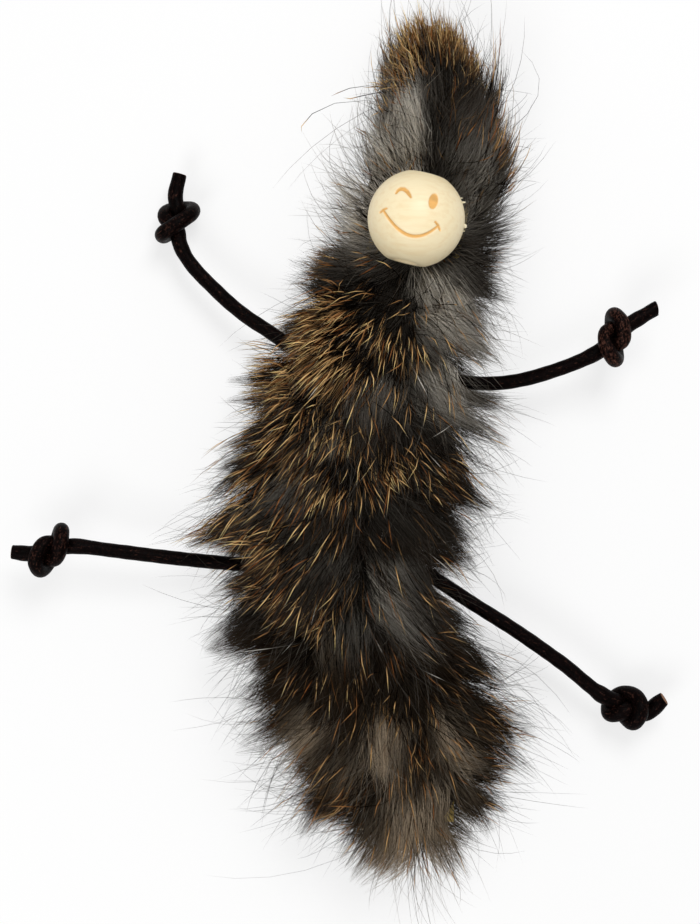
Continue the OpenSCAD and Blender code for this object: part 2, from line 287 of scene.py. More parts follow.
def add_range(tree, value, low, high, to_low=0.0, to_high=1.0):
    node = add_node(tree, "MapRange", {"Value": value, "From Min": low, "From Max": high,
                                       "To Min": to_low, "To Max": to_high})
    return node.outputs["Result"]


def add_noise(tree, place, scale, detail, **more):
    return add_node(tree, "TexNoise", {"Vector": place, "Scale": scale, "Detail": detail, **more}).outputs["Fac"]


def add_math(tree, operation, first, second):
    return add_node(tree, "Math", {0: first, 1: second}, operation=operation).outputs[0]


def mix_colours(tree, factor, first, second):
    colours = [(*c, 1) if isinstance(c, tuple) else c for c in (first, second)]
    node = add_node(tree, "Mix", {0: factor, 6: colours[0], 7: colours[1]}, data_type="RGBA")
    return node.outputs[2]


def add_bump(tree, shader, height, distance, strength=1.0):
    bump = add_node(tree, "Bump", {"Height": height, "Distance": distance, "Strength": strength})
    tree.links.new(bump.outputs["Normal"], shader.inputs["Normal"])


def add_seen(tree):
    """1 for light that the camera sees straight or by way of a shiny or clear surface, else 0."""
    path = add_node(tree, "LightPath").outputs
    return add_math(tree, "MAXIMUM", path["Is Camera Ray"],
                    add_math(tree, "MAXIMUM", path["Is Glossy Ray"], path["Is Transmission Ray"]))


def shade(colour, factor):
    return tuple(min(1.0, value * factor) for value in colour)


def leather_material(look):
    """Dyed round leather rubbed brown on the knots, with painted sheen as lighter streaks along the cord and painted
    glints as bright flecks.
    """
    material, tree, shader = new_material("cord_leather", 0.4, 0.02)
    place = add_node(tree, "Attribute", attribute_name="cord_space").outputs["Vector"]
    wear = add_node(tree, "Attribute", attribute_name="wear").outputs["Fac"]
    streak_place = add_node(tree, "Mapping", {"Vector": place, "Scale": (1.0, 1.0, 0.28)}).outputs["Vector"]
    streak = add_noise(tree, streak_place, 1.6, 4.0)
    grain = add_noise(tree, place, 2.4, 5.0, Roughness=0.7)
    # Noise of the bright flecks, which are painted glints
    glint_noise = add_noise(tree, streak_place, 2.6, 5.0, Roughness=0.65)
    pores = add_node(tree, "TexVoronoi", {"Vector": place, "Scale": 4.5}).outputs["Distance"]
    rubbed = add_math(tree, "ADD", grain, add_math(tree, "MULTIPLY", wear, 0.22))
    rubbed = add_range(tree, rubbed, 0.59, 0.74)
    rubbed = add_math(tree, "MULTIPLY", rubbed, add_range(tree, wear, 0.0, 0.8, 0.35, 0.95))
    # Painted sheen: the leather is lighter along lengthwise streaks, which stand in for the cord's shine
    dark = mix_colours(tree, add_range(tree, streak, 0.4, 0.7), shade(look.leather, 0.5), shade(look.leather, 2.4))
    colour = mix_colours(tree, rubbed, dark, tuple(look.worn_and_glint))
    # Painted glints: bright specks of lightened worn colour, more on the rubbed knots, that stand in for tiny
    # highlights on the rough leather
    painted_glint = add_math(tree, "MULTIPLY", add_range(tree, glint_noise, 0.6, 0.76), add_range(tree, wear, 0.0, 0.7, 0.45, 0.8))
    colour = mix_colours(tree, painted_glint, colour, shade(look.worn_and_glint, 1.7))
    tree.links.new(colour, shader.inputs["Base Color"])
    tree.links.new(add_range(tree, grain, 0.3, 0.7, 0.24, 0.55), shader.inputs["Roughness"])
    height = add_math(tree, "ADD", add_math(tree, "MULTIPLY", streak, 0.9),
                      add_math(tree, "ADD", add_math(tree, "MULTIPLY", grain, 0.7),
                               add_math(tree, "MULTIPLY", pores, 0.35)))
    add_bump(tree, shader, height, 0.12 * MM, 0.7)
    return material


def cut_material(look):
    """The cut end of the cord: undyed fibres with a dyed rim."""
    material, tree, shader = new_material("cord_cut_end", 0.85, 0.2)
    place = add_node(tree, "TexCoord").outputs["Object"]
    fibre = add_noise(tree, place, 2600.0, 3.0)
    rim = add_node(tree, "Attribute", attribute_name="wear").outputs["Fac"]
    colour = mix_colours(tree, add_range(tree, fibre, 0.35, 0.7), shade(look.cut, 0.55), shade(look.cut, 1.2))
    colour = mix_colours(tree, rim, shade(look.leather, 1.2), colour)
    tree.links.new(colour, shader.inputs["Base Color"])
    add_bump(tree, shader, fibre, 0.1 * MM)
    return material


def wood_material(look):
    """Pale smooth wood with faint growth lines across the hole and burnt engraved lines."""
    material, tree, shader = new_material("bead_wood", 0.42, 0.4)
    place = add_node(tree, "TexCoord").outputs["Object"]
    place = add_node(tree, "Mapping", {
        "Vector": place, "Location": tuple(-HEAD * MM), "Scale": (900.0, 900.0, 900.0)}).outputs["Vector"]
    place = add_node(tree, "Mapping", {
        "Vector": place, "Rotation": (0.5, 0.35, math.radians(HEAD_TILT)),
        "Scale": (0.16, 1.0, 1.0)}).outputs["Vector"]
    lines = add_noise(tree, place, 1.1, 3.0, Distortion=0.25)
    pores = add_noise(tree, place, 6.0, 2.0)
    cut = add_node(tree, "Attribute", attribute_name="engraving").outputs["Fac"]
    colour = mix_colours(tree, add_range(tree, lines, 0.45, 0.72, 0.0, 0.7), tuple(look.wood), tuple(look.grain))
    colour = mix_colours(tree, add_range(tree, pores, 0.6, 0.8, 0.0, 0.25), colour, tuple(look.grain))
    burnt = mix_colours(tree, add_range(tree, lines, 0.4, 0.65), tuple(look.burnt), shade(look.burnt, 1.25))
    colour = mix_colours(tree, cut, colour, burnt)
    tree.links.new(colour, shader.inputs["Base Color"])
    tree.links.new(add_range(tree, cut, 0.0, 1.0, 0.42, 0.75), shader.inputs["Roughness"])
    height = add_math(tree, "ADD", lines, add_math(tree, "MULTIPLY", pores, 0.5))
    add_bump(tree, shader, height, 0.02 * MM, 0.6)
    return material


def plain_noise_material(name, low, high, scale, roughness, bump, specular=0.4):
    """A finish of two tones of one colour, with its own fine relief."""
    material, tree, shader = new_material(name, roughness, specular)
    place = add_node(tree, "TexCoord").outputs["Object"]
    noise = add_noise(tree, place, scale, 4.0)
    tree.links.new(mix_colours(tree, add_range(tree, noise, 0.35, 0.68), low, high), shader.inputs["Base Color"])
    add_bump(tree, shader, noise, bump)
    return material


def hair_material(name, first, second, roughness):
    """Hair coloured from root to tip, from one set of stops to another by the strand's own tone."""
    material, tree, shader = new_material(name, roughness, 0.0)
    place = add_node(tree, "UVMap", uv_map="OFBake").outputs["UV"]
    parts = add_node(tree, "SeparateXYZ", {"Vector": place})
    tone, along = parts.outputs["X"], parts.outputs["Y"]
    colour = mix_colours(tree, tone, add_ramp(tree, along, first), add_ramp(tree, along, second))
    tree.links.new(colour, shader.inputs["Base Color"])
    return material


# Meshes


def unit(vectors):
    return vectors / np.maximum(np.linalg.norm(vectors, axis=-1, keepdims=True), 1e-9)


def ease(low, high, value):
    step = np.clip((value - low) / (high - low), 0, 1)
    return step * step * (3 - 2 * step)


def mesh_object(name, points, faces):
    """Object from points in mm and a list of arrays of faces, one array for each number of corners."""
    mesh = bpy.data.meshes.new(name)
    mesh.vertices.add(len(points))
    mesh.vertices.foreach_set("co", (np.asarray(points) * MM).astype(np.float32).ravel())
    corners = np.concatenate([np.asarray(f).ravel() for f in faces]).astype(np.int32)
    counts = np.concatenate([np.full(len(f), np.asarray(f).shape[1]) for f in faces])
    starts = np.concatenate([[0], np.cumsum(counts)[:-1]]).astype(np.int32)
    mesh.loops.add(len(corners))
    mesh.loops.foreach_set("vertex_index", corners)
    mesh.polygons.add(len(counts))
    mesh.polygons.foreach_set("loop_start", starts)
    mesh.polygons.foreach_set("use_smooth", np.ones(len(counts), dtype=bool))
    mesh.update(calc_edges=True)
    mesh.validate()
    piece = bpy.data.objects.new(name, mesh)
    bpy.context.collection.objects.link(piece)
    return piece


def float_attribute(piece, name, values):
    values = np.asarray(values, dtype=np.float32)
    kind = "FLOAT" if values.ndim == 1 else "FLOAT_VECTOR"
    attribute = piece.data.attributes.new(name, kind, "POINT")
    attribute.data.foreach_set("value" if values.ndim == 1 else "vector", values.ravel())


def start_edit(piece):
    bpy.ops.object.select_all(action="DESELECT")
    piece.select_set(True)
    bpy.context.view_layer.objects.active = piece
    bpy.ops.object.mode_set(mode="EDIT")


def pick_faces(piece, test):
    """Leave edit mode, select the faces whose middle and normal pass the test, and go back."""
    bpy.ops.mesh.select_mode(type="FACE")
    bpy.ops.mesh.select_all(action="DESELECT")
    bpy.ops.object.mode_set(mode="OBJECT")
    for face in piece.data.polygons:
        face.select = bool(test(face.center, face.normal))
    bpy.ops.object.mode_set(mode="EDIT")


# Cord limbs


def knot_form(draw):
    """Centre line of an overhand knot about its own middle, in cord pitches."""
    wide, tall, rise = KNOT_LOOP
    angles = np.radians(np.linspace(*KNOT_ARC, KNOT_STEPS + 1))
    climb = rise * (angles - 2 * math.pi) / math.pi
    turn = np.stack([wide * np.cos(angles) - KNOT_OFF, tall * np.sin(angles), climb], axis=1)
    back = KNOT_LEAD[::-1] * (1, -1, -1)
    return draw * np.concatenate([KNOT_LEAD, turn, back])


def limb_route(limb, steps):
    """Centre line of a limb from its hinge through its knot to the end of its tail, in mm."""
    middle, compass, climb, spin = limb["knot"]
    compass, climb, spin = (math.radians(a) for a in (compass, climb, spin))
    out = np.array((math.cos(compass) * math.cos(climb), math.sin(compass) * math.cos(climb), math.sin(climb)))
    side = np.array((-math.sin(compass), math.cos(compass), 0))
    over = np.cross(out, side)
    across = side * math.cos(spin) + over * math.sin(spin)
    form = knot_form(limb["draw"]) * KNOT_PITCH
    knot = np.array(middle) + form @ np.stack([across, np.cross(out, across), out])
    points = np.concatenate([np.array(limb["way"], dtype=float), knot, [limb["tail"]]])
    return smooth_line(points, steps)


def smooth_line(points, steps):
    """Curve through points, with the slope at each weighed by the lengths on its two sides."""
    gaps = np.linalg.norm(np.diff(points, axis=0), axis=1)
    legs = np.diff(points, axis=0) / gaps[:, None]
    slopes = np.empty_like(points)
    slopes[0], slopes[-1] = legs[0], legs[-1]
    slopes[1:-1] = (legs[:-1] * gaps[1:, None] + legs[1:] * gaps[:-1, None]) / (gaps[1:] + gaps[:-1])[:, None]
    line = [points[:1]]
    for k, gap in enumerate(gaps):
        t = (np.arange(1, steps + 1) / steps)[:, None]
        line.append((2 * t**3 - 3 * t**2 + 1) * points[k] + (t**3 - 2 * t**2 + t) * gap * slopes[k]
                    + (3 * t**2 - 2 * t**3) * points[k + 1] + (t**3 - t**2) * gap * slopes[k + 1])
    return np.concatenate(line)


def even_line(line, spacing):
    """The same curve with its points evenly spaced."""
    far = np.concatenate([[0], np.cumsum(np.linalg.norm(np.diff(line, axis=0), axis=1))])
    places = np.linspace(0, far[-1], int(far[-1] / spacing) + 1)
    return np.stack([np.interp(places, far, line[:, k]) for k in range(3)], axis=1), places


def cord_piece(name, limb, look, sides=20):
    """A limb's cord as one tube with a rounded hidden end and a cut, slightly bevelled tail."""
    line, far = even_line(limb_route(limb, 12), CORD_STEP)
    knot = np.array(limb["knot"][0])
    radius = look.diameter / MM / 2
    ahead = unit(np.gradient(line, axis=0))
    first = unit(np.cross(ahead[0], (0.0, 0.0, 1.0)))
    turns = []
    for direction in ahead:
        first = unit(first - direction * np.dot(first, direction))
        turns.append((first, np.cross(direction, first)))
    around = np.linspace(0, 2 * math.pi, sides, endpoint=False)
    ring = np.stack([np.cos(around), np.sin(around)], axis=1)
    wobble = 1 + 0.012 * np.sin(far * 1.7) + 0.01 * np.sin(far * 0.73 + 1)
    wobble += limb["swell"] * ease(8.5, 6, np.linalg.norm(line - knot, axis=1))
    rings = [line[k] + radius * wobble[k] * ring @ np.stack(turns[k]) for k in range(len(line))]

    # The tail is cut on a slant, its rim a little rounded
    end, (one, two) = line[-1], turns[-1]
    lean = limb["slant"]
    for shrink, push in CUT_RINGS:
        flat = radius * shrink * ring
        rings.append(end + flat @ np.stack([one, two]) + ahead[-1] * (push + 0.25 + lean * flat[:, :1]))
    points = np.concatenate(rings + [line[:1] - ahead[0] * 0.4, [end + ahead[-1] * 0.57]])
    count = len(rings)
    grid = np.arange(count * sides).reshape(count, sides)
    after = np.roll(grid, -1, axis=1)
    walls = np.stack([grid[:-1], after[:-1], after[1:], grid[1:]], axis=-1).reshape(-1, 4)
    caps = np.concatenate([
        np.stack([after[0], grid[0], np.full(sides, count * sides)], axis=1),
        np.stack([grid[-1], after[-1], np.full(sides, count * sides + 1)], axis=1)])
    piece = mesh_object(name, points, [walls, caps])

    far = np.concatenate([far, np.full(len(CUT_RINGS), far[-1])])
    space = np.empty((len(points), 3))
    space[:-2, :2] = np.tile(ring * radius, (count, 1))
    space[:-2, 2] = np.repeat(far, sides) + 40 * sorted(LIMBS).index(name)
    space[-2:] = 0
    float_attribute(piece, "cord_space", space)
    away = points - knot
    outward = np.zeros(len(points))
    middles = np.concatenate([line, np.repeat(line[-1:], len(CUT_RINGS), 0)])[:, None]
    normals = unit(points[:count * sides].reshape(count, sides, 3) - middles)
    outward[:-2] = (normals.reshape(-1, 3) * unit(away[:-2])).sum(axis=1)
    near = ease(10.5, 6.5, np.linalg.norm(away, axis=1))
    wear = near * ease(0.1, 0.9, outward) * limb["wear"]
    rim = np.arange(len(points)) >= (count - 2) * sides
    wear[rim] = 1.0
    wear[(count - 3) * sides:(count - 2) * sides] = 0.25
    float_attribute(piece, "wear", wear)

    for material in (bpy.data.materials["cord_leather"], bpy.data.materials["cord_cut_end"]):
        piece.data.materials.append(material)
    is_cut = np.zeros(len(piece.data.polygons), dtype=np.int32)
    is_cut[(count - 3) * sides:(count - 1) * sides] = 1
    is_cut[-sides:] = 1
    piece.data.polygons.foreach_set("material_index", is_cut)
    return piece, line, float(far[-1])


def build_cords(look):
    """Lay the four limbs, each a cord with its knot."""
    leather_material(look)
    cut_material(look)
    for name, limb in LIMBS.items():
        piece, line, length = cord_piece(name, limb, look)
        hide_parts(*limb["nodes"])
        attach(piece, name)


# Bead head


def stroke_cut(places, line, width):
    """How much of a stroke of the given width covers each place, from 0 to 1 (all in mm)."""
    best = np.full(len(places), -1.0)
    for k in range(len(line) - 1):
        start, leg = line[k], line[k + 1] - line[k]
        t = np.clip(((places - start) @ leg) / (leg @ leg), 0, 1)
        gap = np.linalg.norm(places - start - t[:, None] * leg, axis=1)
        half = 0.5 * (width[k] + (width[k + 1] - width[k]) * t)
        best = np.maximum(best, half - gap)
    return ease(-0.14, 0.12, best)


def face_cut(places):
    """Engraved face as seen from above, by offsets from the bead's middle in mm: a wink, an eye and a smile."""
    wink = np.array([(-4.35, 4.2), (-3.95, 4.8), (-3.4, 5.1), (-2.75, 5.0), (-2.1, 4.4), (-1.65, 3.7), (-1.4, 3.2)])
    cut = stroke_cut(places, wink, np.array([0.4, 0.65, 0.8, 0.85, 0.8, 0.65, 0.4]))
    t = np.linspace(0, 1, 17)[:, None]
    smile = ((1 - t) ** 2 * np.array((-6.95, 0.85)) + 2 * t * (1 - t) * np.array((-2.0, -8.1))
             + t**2 * np.array((4.15, -2.55)))
    cut = np.maximum(cut, stroke_cut(places, smile, 0.42 + 0.18 * np.sin(math.pi * t[:, 0])))
    for tick in (((-7.5, 0.5), (-6.95, 0.95), (-6.3, 1.15)), ((3.6, -1.8), (4.2, -2.45), (4.55, -3.35))):
        cut = np.maximum(cut, stroke_cut(places, np.array(tick), np.array((0.4, 0.5, 0.35))))
    lean = math.radians(12)
    along = (places - (3.2, 2.45)) @ np.array((math.sin(lean), math.cos(lean)))
    across = (places - (3.2, 2.45)) @ np.array((math.cos(lean), -math.sin(lean)))
    oval = 1 - np.sqrt((along / 1.68) ** 2 + (across / 0.95) ** 2)
    return np.maximum(cut, ease(-0.12, 0.12, oval))


def build_bead(look):
    """Turn the bead from a sphere: cut its two flats, drill it, refine its face and engrave it."""
    radius = look.diameter / 2
    tilt = math.radians(-HEAD_TILT)
    axis = Vector((-math.sin(tilt), math.cos(tilt), 0))
    middle = Vector(HEAD * MM)
    bpy.ops.object.select_all(action="DESELECT")
    bpy.ops.mesh.primitive_uv_sphere_add(segments=64, ring_count=32, radius=radius, location=middle,
                                         rotation=(math.radians(90), 0, tilt))
    piece = bpy.context.object
    piece.name = piece.data.name = "bead_head"
    bpy.ops.object.transform_apply(location=True, rotation=True, scale=True)
    start_edit(piece)
    for sign in (1, -1):
        bpy.ops.mesh.select_all(action="SELECT")
        bpy.ops.mesh.bisect(plane_co=middle + axis * sign * look.length / 2, plane_no=axis * sign,
                            clear_outer=True, use_fill=True)
    flat = math.sqrt(radius**2 - (look.length / 2) ** 2)
    chamfer = 0.5 * MM
    for sign in (1, -1):
        def on_flat(centre, normal, sign=sign):
            return normal.dot(axis) * sign > 0.999 and (centre - middle).dot(axis) * sign > look.length / 2 - 1e-5

        pick_faces(piece, on_flat)
        bpy.ops.mesh.inset(thickness=flat - look.hole / 2 - chamfer, depth=0)
        bpy.ops.mesh.inset(thickness=chamfer, depth=-chamfer)
        bpy.ops.mesh.delete(type="ONLY_FACE")

    # Wall of the hole between its two open rims
    bpy.ops.mesh.select_mode(type="EDGE")
    bpy.ops.mesh.select_all(action="DESELECT")
    bpy.ops.mesh.select_non_manifold(extend=False, use_wire=False, use_boundary=True,
                                     use_multi_face=False, use_non_contiguous=False, use_verts=False)
    bpy.ops.mesh.bridge_edge_loops()

    # Finer faces where the engraving goes
    pick_faces(piece, lambda centre, normal: normal.z > 0.5 and (centre - middle).length > radius * 0.97)
    bpy.ops.mesh.subdivide(number_cuts=7)
    bpy.ops.mesh.select_all(action="SELECT")
    bpy.ops.mesh.normals_make_consistent(inside=False)
    bpy.ops.object.mode_set(mode="OBJECT")
    bpy.ops.object.shade_smooth_by_angle(angle=math.radians(30))

    count = len(piece.data.vertices)
    points = np.empty(count * 3)
    piece.data.vertices.foreach_get("co", points)
    away = points.reshape(-1, 3) - np.array(middle)
    along = np.abs(away @ np.array(axis))
    round_side = (along < look.length / 2 - 1e-5) & (np.linalg.norm(away, axis=1) > radius * 0.97)
    away[round_side] = unit(away[round_side]) * radius
    cut = face_cut(away[:, :2] / MM) * (away[:, 2] > 0) * round_side
    away -= unit(away) * (look.depth * cut)[:, None]
    piece.data.vertices.foreach_set("co", (away + np.array(middle)).ravel())
    piece.data.update()
    float_attribute(piece, "engraving", cut)
    piece.data.materials.append(wood_material(look))
    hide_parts("head_bead")
    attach(piece, "figure")


def build_flecks(look):
    """Set the glue that was squeezed out at the bead's rim: small drops, drawn out and pressed to the bead."""
    drops = []
    for compass, rise, size, squeeze in FLECKS:
        way = Vector((math.cos(math.radians(compass)), math.sin(math.radians(compass)), math.sin(math.radians(rise))))
        place = Vector(HEAD * MM) + way.normalized() * FLECK_OUT * MM
        bpy.ops.object.select_all(action="DESELECT")
        bpy.ops.mesh.primitive_ico_sphere_add(subdivisions=3, radius=size * MM, location=place)
        drops.append(bpy.context.object)
        bpy.ops.object.transform_apply(location=True, rotation=True, scale=True)
        start_edit(drops[-1])
        bpy.ops.mesh.select_all(action="SELECT")
        bpy.ops.transform.resize(value=squeeze, center_override=tuple(place))
        pick_faces(drops[-1], lambda centre, normal: normal.dot(way) > 0.75)
        bpy.ops.transform.translate(value=tuple(way * size * 0.5 * MM))
        bpy.ops.mesh.select_all(action="SELECT")
        bpy.ops.mesh.vertices_smooth(factor=0.5, repeat=2)
        bpy.ops.object.mode_set(mode="OBJECT")
        bpy.ops.object.shade_smooth()
    bpy.ops.object.select_all(action="DESELECT")
    for drop in drops:
        drop.select_set(True)
    bpy.context.view_layer.objects.active = drops[0]
    bpy.ops.object.join()
    piece = bpy.context.object
    piece.name = piece.data.name = "glue_flecks"
    piece.data.materials.clear()
    piece.data.materials.append(bpy.data.materials["set_glue"])
    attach(piece, "figure")


# Coat


def pelt_middle(y):
    """Middle of the folded strip at a place along the figure, in mm."""
    return np.where(y > -22, -4 + 21 * ease(-22, 78, y), -4 + 16 * ease(-22, -76, y))


def spots(places, x, y):
    """Strength of a list of soft spots at each place."""
    total = np.zeros(len(x))
    for at_x, at_y, wide, tall, strength in places:
        total = np.maximum(total, strength * np.exp(-(((x - at_x) / wide) ** 2 + ((y - at_y) / tall) ** 2)))
    return total


def coat_flow(x, y):
    """Direction the hair lies in, seen from above: up over the hood, round the head, down and out over the body."""
    away = np.stack([x - HEAD[0], y - HEAD[1] + 3], axis=1)
    near = 1.3 * np.exp(-((np.hypot(*away.T) / 18) ** 2)) * (0.5 + 0.5 * ease(56, 44, y))
    across = np.tanh(1.2 * (x - 15) / 16)
    up = unit(np.stack([across * np.where(across < 0, 0.7, 0.42), 1 - 0.3 * np.abs(across)], axis=1))
    hood = up * (1 - np.minimum(near, 1))[:, None] + unit(away) * near[:, None]
    aside = np.tanh((1.1 + 1.6 * ease(-56, -76, y)) * ((x - pelt_middle(y)) / 16 - 0.1))
    down = unit(np.stack([aside, -(1.05 - 0.68 * np.abs(aside))], axis=1))
    share = ease(20, 39, y)[:, None]
    return unit(hood * share + down * (1 - share))


def coat_reach(x, y, flow):
    """How far a hair may run along the flow before it crosses the coat's edge, in mm."""
    reach = np.full(len(x), LONGEST)
    rows = OUTLINE[::-1]
    for step in np.arange(LONGEST, 0, -1.0):
        at_x, at_y = x + flow[:, 0] * step, y + flow[:, 1] * step
        outside = ((at_x < np.interp(at_y, rows[:, 0], rows[:, 1])) | (at_x > np.interp(at_y, rows[:, 0], rows[:, 2]))
                   | (at_y > rows[-1, 0]) | (at_y < rows[0, 0]))
        reach[outside] = step
    return reach


def build_pelt(look):
    """Loft the woolly body of the pelt from a ring, row by row along the strip."""
    rows = [(y, float(pelt_middle(np.array(y))), wide, low, high) for y, wide, low, high in PELT_ROWS]
    y, x, wide, low, high = rows[0]
    bpy.ops.object.select_all(action="DESELECT")
    bpy.ops.mesh.primitive_circle_add(vertices=26, radius=wide * MM, fill_type="NGON",
                                      location=(x * MM, y * MM, (low + high) / 2 * MM),
                                      rotation=(math.radians(90), 0, 0))
    piece = bpy.context.object
    piece.name = piece.data.name = "pelt_wool"
    bpy.ops.object.transform_apply(location=True, rotation=True, scale=True)
    start_edit(piece)
    bpy.ops.mesh.select_all(action="SELECT")
    bpy.ops.transform.resize(value=(1, 1, (high - low) / 2 / wide),
                             center_override=(x * MM, y * MM, (low + high) / 2 * MM))
    for before, after in zip(rows, rows[1:]):
        old, new = (np.array((row[1], row[0], (row[3] + row[4]) / 2)) * MM for row in (before, after))
        bpy.ops.mesh.extrude_region_move(TRANSFORM_OT_translate={"value": tuple(new - old)})
        bpy.ops.transform.resize(value=(after[2] / before[2], 1, (after[4] - after[3]) / (before[4] - before[3])),
                                 center_override=tuple(new))
    bpy.ops.mesh.select_all(action="SELECT")
    bpy.ops.mesh.normals_make_consistent(inside=False)
    bpy.ops.object.mode_set(mode="OBJECT")
    modifier = piece.modifiers.new("Round", "SUBSURF")
    modifier.levels = modifier.render_levels = 2
    bpy.ops.object.modifier_apply(modifier="Round")
    bpy.ops.object.shade_smooth()
    # Near-black wool: its own dark colour, and painted shade for the depths between the tufts
    piece.data.materials.append(plain_noise_material(
        "pelt_wool", shade(look.skin, 0.6), shade(look.skin, 1.3), 900.0, 0.95, 0.4 * MM, 0.1))
    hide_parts("fur_hood", "fur_chest", "fur_belly", "fur_tail")
    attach(piece, "figure")


def pelt_surface(piece):
    """Corners, normals and areas of the pelt's triangles, in mm.

    Extruding leaves the faces in an order that changes from run to run, so they are put in order by their places.
    """
    mesh = piece.data
    quads = np.empty(len(mesh.loops), dtype=np.int32)
    mesh.loops.foreach_get("vertex_index", quads)
    points, normals = np.empty(len(mesh.vertices) * 3), np.empty(len(mesh.vertices) * 3)
    mesh.vertices.foreach_get("co", points)
    mesh.vertices.foreach_get("normal", normals)
    points = points.reshape(-1, 3) / MM
    quads = quads.reshape(-1, 4)
    rank = np.round(points @ SORT_WAY, 4)
    first = rank[quads].argmin(axis=1)
    quads = np.take_along_axis(quads, (first[:, None] + np.arange(4)) % 4, axis=1)
    quads = quads[np.argsort(rank[quads].sum(axis=1), kind="stable")]
    corners = np.concatenate([quads[:, :3], quads[:, [0, 2, 3]]])
    points = points[corners]
    area = 0.5 * np.linalg.norm(np.cross(points[:, 1] - points[:, 0], points[:, 2] - points[:, 0]), axis=1)
    return points, normals.reshape(-1, 3)[corners], area


def pelt_roots(surface, count, rng, weight):
    """Places on the pelt and their normals, picked by area and a weight."""
    points, normals, area = surface
    middle, facing = points.mean(axis=1), normals.mean(axis=1)
    odds = area * weight(middle, facing)
    picked = rng.choice(len(area), count, p=odds / odds.sum())
    one, two = rng.random((2, count))
    flip = one + two > 1
    one[flip], two[flip] = 1 - one[flip], 1 - two[flip]
    shares = np.stack([1 - one - two, one, two], axis=1)[:, :, None]
    return (points[picked] * shares).sum(axis=1), unit((normals[picked] * shares).sum(axis=1))


def nearest(places, centres):
    """Number of the centre that is nearest to each place."""
    tree = KDTree(len(centres))
    for k, place in enumerate(centres):
        tree.insert(place, k)
    tree.balance()
    return np.array([tree.find(place)[1] for place in places])


def crosses(strands, test):
    """Whether any place along each hair passes a test."""
    found = np.zeros(len(strands), dtype=bool)
    for share in np.linspace(0, 1, 7):
        found |= test(strands[:, :-1] * (1 - share) + strands[:, 1:] * share).any(axis=1)
    return found


def part_for_limbs(strands, rng):
    """Lay the hair over and under the room that each limb swings in, and off the top of the cord itself."""
    keep = np.ones(len(strands), dtype=bool)
    for limb in LIMBS.values():
        line = smooth_line(np.array(limb["way"] + [limb["knot"][0]], dtype=float), 8)
        hinge = line[0]
        out = line - hinge
        far = np.hypot(out[:, 0], out[:, 1])
        turn = np.unwrap(np.arctan2(out[1:, 1], out[1:, 0]))
        turn = np.concatenate([turn[:1], turn])

        def about_hinge(places):
            x, y = places[..., 0] - hinge[0], places[..., 1] - hinge[1]
            away = np.hypot(x, y)
            off = np.arctan2(y, x) - np.interp(away, far, turn)
            return away, (off + math.pi) % (2 * math.pi) - math.pi, np.interp(away, far, line[:, 2])

        def over_cord(places):
            away, off, level = about_hinge(places)
            return ((np.abs(off) * away < CORD_ROOM) & (np.cos(off) > 0) & (away > 2.5) & (away < far[-1] + 5)
                    & (places[..., 2] >= level))

        low, high = (math.radians(a) for a in limb["swing"])

        def in_room(places):
            away, off, level = about_hinge(places)
            beside = np.arcsin(CORD_ROOM / np.maximum(away, CORD_ROOM))
            return ((off > low - beside) & (off < high + beside) & (away > 1) & (away < far[-1])
                    & (np.abs(places[..., 2] - level) < CORD_ROOM))

        away, off, level = about_hinge(strands)
        margin = np.arcsin(CORD_ROOM_SIDE / np.maximum(away, CORD_ROOM_SIDE))
        inside = (off > low - margin) & (off < high + margin) & (away < far[-1]) & (np.cos(off) > 0)
        room = CORD_ROOM_HEIGHT * ease(0.5, 4, away)
        upper = strands[..., 2] >= level
        gap = np.where(upper, np.maximum(strands[..., 2], level + room), np.minimum(strands[..., 2], level - room))
        strands[..., 2] = np.where(inside, gap, strands[..., 2])
        keep &= ~crosses(strands, over_cord) | (rng.random(len(strands)) < LEFT_OVER)
        keep &= ~crosses(strands, in_room)
    strands[..., 2] = np.maximum(strands[..., 2], LOWEST)
    return keep


def clear_of_bead(strands, rng):
    """Lay the hair round the bead and take off what would cross its face."""
    away = strands - HEAD
    far = np.linalg.norm(away, axis=-1, keepdims=True)
    strands[:] = np.where(far < HEAD_CLEAR, HEAD + away / np.maximum(far, 1e-6) * HEAD_CLEAR, strands)
    plan = np.hypot(strands[..., 0] - HEAD[0], strands[..., 1] - HEAD[1])
    high = strands[..., 2] > HEAD[2] - 3
    lower_left = strands[..., 0] + 1.6 * strands[..., 1] < HEAD[0] + 1.6 * HEAD[1] - 13
    covers = (high & (plan < np.where(lower_left, FACE_REACH_LOW, FACE_REACH))).any(axis=1)
    laps = (high & (plan < FACE_RIM)).any(axis=1)
    laps &= rng.random(len(strands)) > np.where(lower_left.any(axis=1), 0.7, 0.25)
    return ~(covers | laps)


def bare_hide_edge(strands, rng):
    """Thin the hair over the short stretch near the tail where the hide's edge shows."""
    def over_edge(places):
        near = (np.abs(places[..., :2] - HIDE_EDGE) < HIDE_EDGE_SIZE).all(axis=-1)
        return near & (places[..., 2] > HIDE_EDGE_LEVEL)

    return ~crosses(strands, over_edge) | (rng.random(len(strands)) < LEFT_OVER)


def hair_lines(roots, normals, flow, size, lift, drop, steps):
    """Lines that leave the skin, turn over and run out along the flow, in mm."""
    ahead = np.concatenate([flow, np.zeros((len(flow), 1))], axis=1)
    start = unit(ahead * (1 - 0.5 * lift[:, None]) + normals * lift[:, None])
    end = ahead + 0.12 * normals * (normals[:, 2:] > 0)
    end[:, 2] -= drop + 0.3 * ease(0.3, 0.8, 1 - np.abs(normals[:, 2]))
    end = unit(end)
    lines = np.empty((len(roots), steps + 1, 3))
    lines[:, 0] = roots - normals * 0.6
    for k in range(steps):
        t = (k + 0.5) / steps
        lines[:, k + 1] = lines[:, k] + unit(start * (1 - t) + end * t) * (size / steps)[:, None]
    return lines


def turned(flow, angle):
    """Directions turned by an angle, seen from above."""
    return np.stack([flow[:, 0] * np.cos(angle) - flow[:, 1] * np.sin(angle),
                     flow[:, 0] * np.sin(angle) + flow[:, 1] * np.cos(angle)], axis=1)


